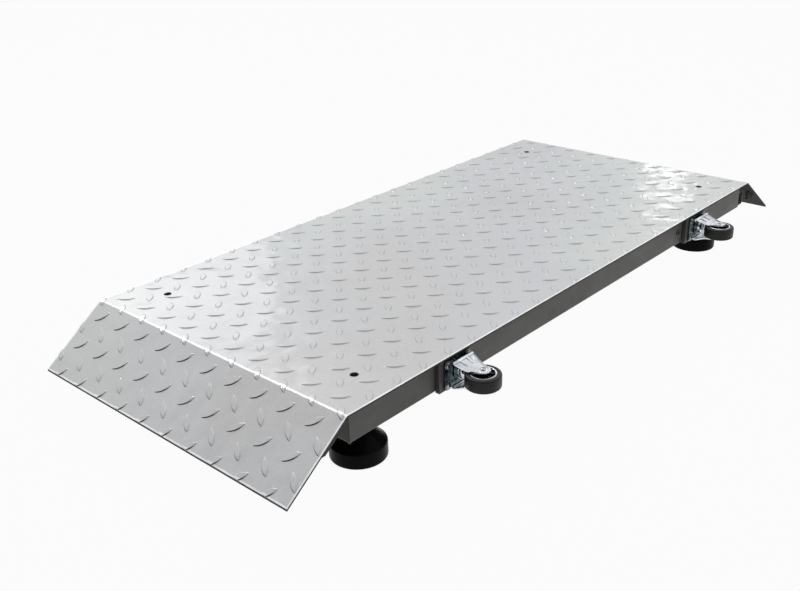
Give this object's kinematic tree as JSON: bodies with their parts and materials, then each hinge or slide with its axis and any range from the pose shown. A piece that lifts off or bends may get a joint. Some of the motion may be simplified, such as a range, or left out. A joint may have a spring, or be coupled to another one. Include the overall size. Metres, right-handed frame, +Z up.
{
  "type": "livestock scale",
  "caption": "Low platform weighing scale for livestock: bent tread-plate deck with end ramps on a tube frame, with load cells on screw feet at the corners and swivel casters on one long side.",
  "frame": {"origin": "on the floor, below the middle of the whole outline, the casters included", "axes": "+X along the deck from the near ramp to the far ramp, -Y towards the long side with the casters, +Z up"},
  "size_m": [1.3824, 0.6314, 0.128],
  "materials": {
    "deck_tread": "silver paint over five-bar tread plate, satin",
    "frame_paint": "dark warm grey paint, satin",
    "block_paint": "dark warm grey paint, satin",
    "caster_zinc": "bright zinc plated pressed steel",
    "fastener_zinc": "bright zinc plated",
    "stud_zinc": "zinc plated, threaded",
    "plain_steel": "rolled steel, dull",
    "cell_nickel": "nickel plated alloy steel, satin",
    "foot_rubber": "black moulded rubber, satin",
    "tyre_rubber": "black rubber tread, slightly dusty",
    "hub_plastic": "black moulded nylon with a bright rim",
    "grommet_rubber": "black rubber",
    "box_plastic": "grey moulded plastic"
  },
  "bodies": {
    "scale": {"deck_plate": "deck_tread", "side_rail_right": "frame_paint", "side_rail_left": "frame_paint", "near_end_tube": "frame_paint", "far_end_tube": "frame_paint", "near_cell_tube": "frame_paint", "far_cell_tube": "frame_paint", "centre_tube": "frame_paint", "cell_plate_near_right": "plain_steel", "cell_plate_near_left": "plain_steel", "cell_plate_far_right": "plain_steel", "cell_plate_far_left": "plain_steel", "load_cell_near_right": "cell_nickel", "load_cell_near_left": "cell_nickel", "load_cell_far_right": "cell_nickel", "load_cell_far_left": "cell_nickel", "cell_bolt_near_right_1": "plain_steel", "cell_bolt_near_right_2": "plain_steel", "cell_bolt_near_left_1": "plain_steel", "cell_bolt_near_left_2": "plain_steel", "cell_bolt_far_right_1": "plain_steel", "cell_bolt_far_right_2": "plain_steel", "cell_bolt_far_left_1": "plain_steel", "cell_bolt_far_left_2": "plain_steel", "lock_nut_near_right": "stud_zinc", "lock_nut_near_left": "stud_zinc", "lock_nut_far_right": "stud_zinc", "lock_nut_far_left": "stud_zinc", "junction_box": "box_plastic", "junction_box_lid": "box_plastic", "cable_grommet": "grommet_rubber", "caster_block_near": "block_paint", "caster_block_far": "block_paint", "caster_plate_near": "caster_zinc", "caster_plate_far": "caster_zinc", "caster_bolt_near_1": "fastener_zinc", "caster_bolt_near_2": "fastener_zinc", "caster_bolt_near_3": "fastener_zinc", "caster_bolt_near_4": "fastener_zinc", "caster_bolt_far_1": "fastener_zinc", "caster_bolt_far_2": "fastener_zinc", "caster_bolt_far_3": "fastener_zinc", "caster_bolt_far_4": "fastener_zinc"},
    "pad_near_right": {"foot_pad_near_right": "foot_rubber"},
    "pad_near_left": {"foot_pad_near_left": "foot_rubber"},
    "pad_far_right": {"foot_pad_far_right": "foot_rubber"},
    "pad_far_left": {"foot_pad_far_left": "foot_rubber"},
    "stud_near_right": {"foot_stud_near_right": "stud_zinc"},
    "stud_near_left": {"foot_stud_near_left": "stud_zinc"},
    "stud_far_right": {"foot_stud_far_right": "stud_zinc"},
    "stud_far_left": {"foot_stud_far_left": "stud_zinc"},
    "fork_near": {"caster_fork_near": "caster_zinc", "caster_axle_near": "fastener_zinc"},
    "fork_far": {"caster_fork_far": "caster_zinc", "caster_axle_far": "fastener_zinc"},
    "wheel_near": {"wheel_hub_near": "hub_plastic", "wheel_tyre_near": "tyre_rubber"},
    "wheel_far": {"wheel_hub_far": "hub_plastic", "wheel_tyre_far": "tyre_rubber"}
  },
  "joints": [
    {"name": "foot_height_near_right", "type": "slide", "parent": "scale", "child": "pad_near_right", "axis": [0, 0, 1], "range_m": [-0.016, 0.01]},
    {"name": "stud_turn_near_right", "type": "hinge", "parent": "pad_near_right", "child": "stud_near_right", "pos_m": [-0.498, -0.1763, 0.07], "axis": [0, 0, 1], "range_deg": [-3300, 2070]},
    {"name": "foot_height_near_left", "type": "slide", "parent": "scale", "child": "pad_near_left", "axis": [0, 0, 1], "range_m": [-0.016, 0.01]},
    {"name": "stud_turn_near_left", "type": "hinge", "parent": "pad_near_left", "child": "stud_near_left", "pos_m": [-0.498, 0.2477, 0.07], "axis": [0, 0, 1], "range_deg": [-3300, 2070]},
    {"name": "foot_height_far_right", "type": "slide", "parent": "scale", "child": "pad_far_right", "axis": [0, 0, 1], "range_m": [-0.016, 0.01]},
    {"name": "stud_turn_far_right", "type": "hinge", "parent": "pad_far_right", "child": "stud_far_right", "pos_m": [0.498, -0.1763, 0.07], "axis": [0, 0, 1], "range_deg": [-3300, 2070]},
    {"name": "foot_height_far_left", "type": "slide", "parent": "scale", "child": "pad_far_left", "axis": [0, 0, 1], "range_m": [-0.016, 0.01]},
    {"name": "stud_turn_far_left", "type": "hinge", "parent": "pad_far_left", "child": "stud_far_left", "pos_m": [0.498, 0.2477, 0.07], "axis": [0, 0, 1], "range_deg": [-3300, 2070]},
    {"name": "caster_swivel_near", "type": "hinge", "parent": "scale", "child": "fork_near", "pos_m": [-0.352, -0.2481, 0.0982], "axis": [0, 1, 0], "continuous": true},
    {"name": "wheel_spin_near", "type": "hinge", "parent": "fork_near", "child": "wheel_near", "pos_m": [-0.36, -0.2892, 0.0982], "axis": [0, 0, 1], "continuous": true},
    {"name": "caster_swivel_far", "type": "hinge", "parent": "scale", "child": "fork_far", "pos_m": [0.368, -0.2481, 0.0982], "axis": [0, 1, 0], "continuous": true},
    {"name": "wheel_spin_far", "type": "hinge", "parent": "fork_far", "child": "wheel_far", "pos_m": [0.36, -0.2892, 0.0982], "axis": [0, 0, 1], "continuous": true}
  ],
  "couplings": [
    {"joint": "stud_turn_near_right", "follows": "foot_height_near_right", "rad_per_m": 3590.4},
    {"joint": "stud_turn_near_left", "follows": "foot_height_near_left", "rad_per_m": 3590.4},
    {"joint": "stud_turn_far_right", "follows": "foot_height_far_right", "rad_per_m": 3590.4},
    {"joint": "stud_turn_far_left", "follows": "foot_height_far_left", "rad_per_m": 3590.4}
  ]
}
